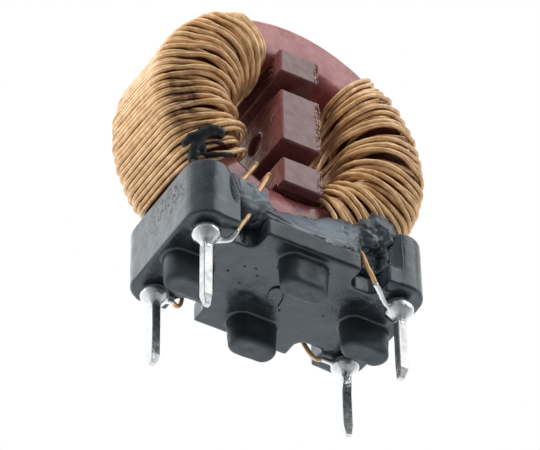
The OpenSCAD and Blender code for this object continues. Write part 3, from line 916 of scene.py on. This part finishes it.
# painted shade, in patches, along the left coil's front corner where the turns bend from the outside onto the
# front
patchy_painted_shade = fit(tree, grain(tree, here, 1.3, 3, stretch=(1, 1, 2.2)), 0, 0.36, 0.68)
stain_and_painted_light_over(tree, copper_tone, times(tree, patchy_painted_shade, spot(tree, here, (-9.8, -4.4, 12.8), (1.5, 1.5, 4.4))),
           (0.12, 0.045, 0.03), shader)
between(tree, grain(tree, here, 2), 0.3, 0.42, shader, "Roughness")
emboss(tree, grain(tree, here, 3, 2), shader, 0.0015)
shader.inputs["Coat Weight"].default_value = 0.25
shader.inputs["Coat Roughness"].default_value = 0.25


def coil(side, lead_in, turns, last, lead_out, per_span):
    """One wire from pin to pin: its turns from the outside of the first to a station of the last"""
    start = stations * 3 // 4
    route = np.concatenate([
        eased(lead_in + [tuple(turns[0, start])], 10)[:-1], turns[0, start:],
        turns[1:-1].reshape(-1, 3), turns[-1, :last],
        eased([tuple(turns[-1, last])] + lead_out, per_span)[1:]])
    name = "copper_winding_" + side
    place_piece(name, wire_mesh(name, [route], wire_seen), copper_enamel, "winding_" + side)


coil("left", lead_back_left,
     wound(left_outside, left_front, left_back,
           lambda a: 1.5 + 0.2 * np.clip(195 - a, 0, 30) - 0.1 * np.clip(160 - a, 0, 45),
           lambda a: np.clip((172 - a) * 0.2, 0, 7), 3),
     stations // 2 + 8, stray_turn + lead_front_left, 7)
coil("right", lead_back_right,
     wound(right_outside, right_front, right_back, lambda a: np.full_like(a, -2),
           lambda a: -np.clip((52 - a) * 0.13, 0, 7), 5),
     16, lead_front_right, 10)

# ---- moulding marks ----
# What the moulds left on the two mouldings: a curled hair and blisters on the header's underside,
# a parting line down two posts, ragged flash on the divider's bars, and rings from ejector pins.
curl = eased(((-0.5, 0.5), (-0.62, 0), (-0.6, -0.5), (-0.29, -0.78), (0.1, -0.68), (0.36, -0.3), (0.54, 0.16),
              (0.6, 0.85)), 6)
# Place in plan and half length of each blister
blisters = ((-4.14, -0.54, 0.11), (-2.61, -1.64, 0.13), (-2.2, -1.07, 0.1), (-2.89, 0.13, 0.12),
            (3.77, 0.22, 0.12), (-3.4, -1.5, 0.08), (0.9, 1.2, 0.08), (2.6, -0.9, 0.1))
seam_x, seam_y = 6.95, -5.04
# How far along the bar's side each ring is, its height, and the angles where it starts and ends
ejector_rings = ((-3.0, 19.95, 60, 300), (-3.3, 15.25, -20, 210))
ejector_r = 0.32
# How deep in the bars' right edges each line of flash lies, and the shift of its wander
flash_lines = ((0.07, 0), (0.26, 3.3))


def tapered(t):
    """How much thicker a mark is between its ends, from 0 to 1"""
    return np.sin(np.pi * np.clip(t, 0.02, 0.98)) ** 0.5


marks = [[(x, y, plate_low - 0.04) for x, y in curl]]
for x, y, size in blisters:
    marks.append([(x + size * t, y + 0.4 * size * t, plate_low) for t in (-1, -0.7, 0, 0.7, 1)])
for side in (1, -1):
    marks.append([(side * (seam_x + 0.02 * math.sin(z * 3)), side * seam_y, z)
                  for z in np.linspace(2.8, 7.0, 24)])
place_piece("moulding_marks", wire_mesh("moulding_marks", marks, lambda t: 0.02 + 0.07 * tapered(t), 8),
            black_plastic, "header_base")

torn_plastic, tree, shader, here = finish("torn_plastic")
tint(tree, grain(tree, here, 2.6, 4), shader, (0.14, 0.05, 0.045), (0.46, 0.30, 0.22), 0.42, 0.62)
between(tree, grain(tree, here, 4), 0.3, 0.6, shader, "Roughness")
emboss(tree, grain(tree, here, 7), shader, 0.02)
flash = []
for low, high in bars:
    z = np.linspace(low + 0.15, high - 0.15, int((high - low) * 9))
    line = np.stack([z * 0 + 0.5, z * 0 + 0.5, z], -1)
    for side in (-1, 1):
        for inset, shift in flash_lines:
            flash.append(np.stack([axis_x + bar_half - inset + 0.07 * drift(line, 0.3, 20 + shift),
                                   side * (bar_long + 0.04 * drift(line, 0.25, 25 + shift)),
                                   axis_z + z], -1))
place_piece("divider_flash", wire_mesh("divider_flash", flash,
                                       lambda t: 0.04 + 0.07 * np.sin(t * 37) ** 2 * tapered(t), 6),
            torn_plastic, "core_divider")
rings = []
for along, z, start, stop in ejector_rings:
    for side in (-1, 1):
        rings.append([(axis_x + side * bar_half, -side * along + ejector_r * math.cos(math.radians(a)),
                       z + ejector_r * math.sin(math.radians(a))) for a in range(start, stop, 20)])
place_piece("ejector_marks", wire_mesh("ejector_marks", rings, 0.05, 6), torn_plastic,
            "core_divider")

# ---- solder ----
# A bead of solder round each pin under its post, with a fillet that runs down the pin. It holds
# the end of the copper wire, which it has tinned bright for its last few millimetres.
bead_r, bead_tall, bead_z = 0.97, 0.72, 1.75
fillet_low, fillet_r = 0.35, 0.36
tinned_r = 0.2
solder_step = 0.045


def strand(p, points, radius):
    """Distance from a wire of this radius along straight stretches"""
    best = None
    for a, b in zip(points[:-1], points[1:]):
        a, b = np.array(a, np.float32), np.array(b, np.float32)
        d = b - a
        t = np.clip(((p - a) @ d) / (d @ d), 0, 1)
        dist = np.linalg.norm(p - a - t[..., None] * d, axis=-1) - radius
        best = dist if best is None else np.minimum(best, dist)
    return best


bright_solder, tree, shader, here = finish("bright_solder")
shader.inputs["Metallic"].default_value = 1
wave = grain(tree, here, 1.8)
tint(tree, wave, shader, (0.72, 0.73, 0.73), (0.9, 0.91, 0.91))
between(tree, wave, 0.12, 0.34, shader, "Roughness")
emboss(tree, grain(tree, here, 2.4, 4), shader, 0.03)


def solder_joint(pin_name, sx, sy, drop, lead):
    """Bead that hangs lower by drop, with the tinned end of a lead running into it"""
    x, y = sx * pin_x, sy * pin_y
    lead = eased(lead, 4)
    low = np.minimum(lead.min(0), (x - 1.1, y - 1.1, -0.8 - drop)) - 0.3
    high = np.maximum(lead.max(0), (x + 1.1, y + 1.1, 2.35)) + 0.3
    p = lay_out(low, high, solder_step)
    z = p[..., 2]
    plan = np.maximum(np.abs(p[..., 0] - x), np.abs(p[..., 1] - y))
    around = np.hypot(p[..., 0] - x, p[..., 1] - y)
    q = p - np.array((x, y, bead_z - drop * 0.6), np.float32)
    bead = (np.linalg.norm(q / np.array((bead_r, bead_r, bead_tall + drop * 0.4)), axis=-1) - 1) * 0.8
    fillet = fillet_r + 0.5 * np.clip((z - fillet_low + drop) / 1.2, 0, 1) ** 2
    cone = np.maximum(np.maximum(around, plan * 1.1) - fillet, np.maximum(fillet_low - drop - z, z - 1.9))
    body = melt(bead, cone * 0.9, 0.25)
    body = melt(body, strand(p, lead, tinned_r), 0.16)
    body = np.maximum(body, z - plate_low + 0.01)
    body += 0.02 * drift(p, 0.6, sx * 3 + sy) + 0.006 * drift(p, 0.2, sx + sy)
    # the pin goes through it
    body = np.maximum(body, -(plan - pin_half + 0.02))
    name = "solder_joint_" + pin_name
    place_piece(name, skin(name, body, low, solder_step), bright_solder, "solder_" + pin_name)


for name, sx, sy, drop, height, lead in (
        ("front_left", -1, -1, 0, 1.52, lead_front_left[-1:] + [(-5.85, -4.1, 1.78), (-6.1, -3.84, 1.6)]),
        ("front_right", 1, -1, 0.25, 1.42, lead_front_right[-1:] + [(5.4, -4.34, 1.8), (5.83, -4, 1.64),
                                                                    (6.3, -3.7, 1.48)]),
        ("back_left", -1, 1, 0, 1.75, lead_back_left[:1]),
        ("back_right", 1, 1, 0, 1.75, lead_back_right[:1])):
    at_pin = (sx * (pin_x - 0.7), sy * (pin_y + 0.05), height)
    solder_joint(name, sx, sy, drop, lead + [at_pin])

# ---- potting resin ----
# Black resin poured between the end blocks while the ring stood in its saddle. It wicks up the
# core, the posts and the lowest turns, sags to the plate's edges, and set glossy and streaked.
resin_step = 0.085
# Along the front, from left to right: the height of its upper line, how far out it stands there,
# the height of its lower edge, which stands up from the plate as a lip, and how far out that is
front_top = ((-7.6, 6.9), (-6.5, 6.7), (-5.6, 6.9), (-5.0, 7.3), (-4.2, 7.35), (-3.6, 7.0), (-3.1, 7.3),
             (-2.6, 6.6), (-2, 6.35), (-0.9, 6.4), (0.69, 6.85), (2.46, 7.35), (3.1, 7.3), (3.75, 6.7),
             (4.36, 7.8), (5.06, 8.7), (5.53, 8.5), (6.09, 8.35), (6.68, 8.9), (7.5, 9.0), (7.9, 8.3),
             (8.3, 7))
front_stand = ((-7.6, 4.1), (-6.2, 4.5), (-5.2, 4.3), (-4, 4.15), (-3.1, 4.0), (-2.7, 3.65), (0.8, 3.65),
               (2.2, 4.05), (3.4, 4.3), (5, 4.5), (8, 4.3))
front_lip = ((-7.6, 4.0), (-3.7, 4.5), (-2.3, 4.35), (-0.9, 4.02), (0.8, 4.0), (2.2, 4.2), (3.6, 4.45),
             (8, 4.2))
front_foot = ((-7.6, 4.9), (-5.9, 4.8), (-5.4, 3.8), (-4.2, 3.75), (-3.65, 5.02), (3.55, 5.04), (4.0, 4.2),
              (4.5, 3.75), (5.6, 3.7), (6.0, 4.6), (8, 4.8))
# From where on the resin has wicked up ragged, and how far along it reaches the full raggedness
wicked_x, wicked_run = 3.2, 1.2
# At the back: the same, which is lowest in the middle and rises evenly towards the blocks
back_top, back_stand, back_lip, back_foot = 6.5, 3.62, plate_high + 0.12, 4.75
# It fills the saddle's floor as far out as this, and lies on the plate beyond
saddle_floor_x, saddle_floor = 3.6, 3.42
# Middle and half size of the lumps in it, and middle and radius of the dents
resin_lumps = (((-4.75, -4.0, 4.9), (0.8, 0.55, 0.9)), ((-6.0, -4.5, 6.6), (0.5, 0.35, 0.45)),
               ((-5.9, -4.75, 5.5), (0.35, 0.3, 0.8)), ((-3.6, -4.2, 5.0), (0.9, 0.4, 0.7)),
               ((5.6, -4.5, 7.6), (0.7, 0.4, 0.8)), ((4.4, -4.45, 6.9), (0.55, 0.45, 0.6)),
               ((3.3, -4.35, 5.9), (0.8, 0.3, 0.7)), ((6.3, -4.5, 6.9), (0.5, 0.5, 0.9)),
               ((5.1, -4.2, 6.1), (0.75, 0.5, 0.8)), ((-5.3, 4.0, 6.2), (1.3, 0.6, 1.2)),
               ((5.0, 4.0, 6.3), (1.4, 0.6, 1.3)))
resin_dents = (((5.0, -4.95, 5.2), 0.55), ((4.5, -4.85, 4.5), 0.35))
crease = ((-3.6, -5.0, 4.35), (-1.9, -4.98, 4.2), (-0.8, -4.98, 4.08), (0.2, -5.02, 4.0))


def along_x(x, points):
    p = np.array(points)
    return np.interp(x, p[:, 0], p[:, 1]).astype(np.float32)


def resin_lines(x, behind):
    """Upper line, how far out it stands, lower edge, and how far out that is, at each x"""
    along = np.stack([x, 0 * x, 0 * x], -1)
    wicked = np.clip((x - wicked_x) / wicked_run, 0, 1)
    top = np.where(behind, back_top + 0.06 * x * x - 0.0006 * x ** 4 + 0.3 * drift(along, 1.3, 7),
                   along_x(x, front_top) + (0.08 + 0.42 * wicked) * drift(along, 0.42, 6))
    stand = np.where(behind, back_stand + 0.012 * x * x, along_x(x, front_stand))
    lip = np.where(behind, back_lip, along_x(x, front_lip))
    narrowed = 0.5 * np.clip(np.abs(x) - 3.4, 0, 1)
    foot = np.where(behind, back_foot - narrowed + 0.1 * drift(along, 1.1, 5), along_x(x, front_foot))
    return top, stand, lip, foot


def resin_body(p):
    x, y, z = p[..., 0], p[..., 1], p[..., 2]
    top, stand, lip, foot = resin_lines(x, y > 0)
    rise = np.clip((z - lip) / (top - lip), 0, 1)
    reach = stand + (foot - stand) * (1 - rise) ** 1.15
    floor = np.where(np.abs(x) < saddle_floor_x, saddle_floor, plate_high + 0.01)
    body = np.maximum(np.maximum((np.abs(y) - reach) * 0.85, (z - top) * 0.8), floor - z)
    ends = np.abs(x) - pin_x - 0.3 + 0.5 * drift(p, 1.1, 13) + 0.05 * y * y
    body = carve(body, -ends, 0.7)
    for centre, size in resin_lumps:
        q = (p - np.array(centre, np.float32)) / np.array(size, np.float32)
        body = melt(body, (np.linalg.norm(q, axis=-1) - 1) * min(size), 0.35)
    for centre, radius in resin_dents:
        body = carve(body, np.linalg.norm(p - np.array(centre, np.float32), axis=-1) - radius, 0.2)
    body = carve(body, strand(p, crease, 0.13), 0.1)
    # its skin is streaked along the pour, and rougher at the right where it wicked
    streaked = p * np.array((0.3, 1, 1.5), np.float32)
    rough = np.clip(x - 1.6, 0, 1)
    body = (body + 0.09 * drift(p, 1.5, 8) + 0.035 * drift(streaked, 0.45, 9)
            + (0.02 + 0.05 * rough) * drift(p, 0.3, 10))
    # it stops at the core and the header, and the bore is free of it
    body = np.maximum(body, -core_body(p) + 0.005)
    body = np.maximum(body, -header_body(p) + 0.005)
    return np.maximum(body, core_in - 0.01 - np.hypot(x - axis_x, z - axis_z))


resin_low = (-8.3, -5.4, 3.2)
resin_high = (8.4, 5.3, 9.7)
p = lay_out(resin_low, resin_high, resin_step)

black_resin, tree, shader, here = finish("black_resin")
streak = grain(tree, here, 2.2, 5, stretch=(0.22, 1, 1.3))
poured = tint(tree, streak, shader, (0.012, 0.015, 0.019), (0.062, 0.072, 0.084))
# the sheet down the front and the corner beside the front left post get a pale painted sheen
painted_sheen = add(tree, "Math", operation="MAXIMUM")
link(tree, spot(tree, here, (0.3, -4.5, 5.2), (3.8, 1.6, 2.3)), 0, painted_sheen, 0)
link(tree, spot(tree, here, (-3.9, -4.2, 6.9), (2.1, 1.4, 1.5)), 0, painted_sheen, 1)
stain_and_painted_light_over(tree, poured, painted_sheen, (0.13, 0.155, 0.18), shader)
between(tree, grain(tree, here, 1.2, 5), 0.2, 0.45, shader, "Roughness")
waves = emboss(tree, streak, shader, 0.035)
emboss(tree, grain(tree, here, 5, 4), shader, 0.012, waves)
shader.inputs["Specular IOR Level"].default_value = 1.0
shader.inputs["Specular Tint"].default_value = (0.85, 0.94, 1, 1)
place_piece("potting", skin("potting", resin_body(p), resin_low, resin_step), black_resin,
            "potting_resin")

# ---- resin drop ----
# A run of the same resin that fell on the left winding's front. It spread over a few turns, ran
# down to the post, soaked in between the turns and bled round the corner along one groove.
drop_step = 0.06
# The runs that it is made of: how thick each is, and the line that it follows on the winding
drop_runs = ((0.44, ((-8.2, -4.25, 10.05), (-7.75, -4.5, 10.3), (-7.35, -4.62, 10.35), (-7.1, -4.62, 10.3))),
             (0.28, ((-8.1, -4.25, 9.9), (-7.6, -4.5, 10.12))),
             (0.42, ((-8.2, -4.2, 9.95), (-8.6, -4.0, 9.75), (-8.85, -3.85, 9.6))),
             (0.28, ((-8.7, -3.95, 9.6), (-8.95, -3.75, 9.4), (-9.15, -3.6, 9.2))),
             (0.36, ((-8.4, -4.1, 9.75), (-8.5, -3.9, 9.2), (-8.55, -3.65, 8.7), (-8.5, -3.5, 8.2))),
             (0.24, ((-8.3, -4.0, 9.4), (-8.0, -3.95, 9.2), (-7.9, -3.8, 8.9))),
             (0.12, ((-7.5, -4.3, 9.5), (-7.2, -4.4, 9.5), (-6.75, -4.45, 9.6))),
             (0.2, ((-8.4, -3.7, 8.5), (-7.8, -3.95, 8.5), (-7.3, -4.15, 8.6))),
             (0.15, ((-7.1, -4.25, 8.6), (-6.6, -4.4, 8.7), (-6.1, -4.5, 8.85))))
bleed = ((-8.85, -3.6, 9.3), (-9.05, -3.0, 9.15), (-9.15, -2.2, 9.05))
drop_low = (-9.9, -5.15, 7.9)
drop_high = (-5.5, -0.6, 10.7)
p = lay_out(drop_low, drop_high, drop_step)
body = strand(p, bleed, 0.15)
for thick, line in drop_runs:
    body = melt(body, strand(p, line, thick), 0.2)
body += 0.04 * drift(p, 0.7, 11) + 0.012 * drift(p, 0.25, 12)
body = np.maximum(body, -header_body(p) + 0.005)

soaked_resin, tree, shader, here = finish("soaked_resin")
tint(tree, grain(tree, here, 1.5), shader, (0.004, 0.005, 0.006), (0.014, 0.016, 0.018))
between(tree, grain(tree, here, 2.5), 0.25, 0.5, shader, "Roughness")
emboss(tree, grain(tree, here, 3, 5), shader, 0.015)
shader.inputs["Specular IOR Level"].default_value = 0.45
place_piece("resin_run", skin("resin_run", body, drop_low, drop_step), soaked_resin, "resin_drop")
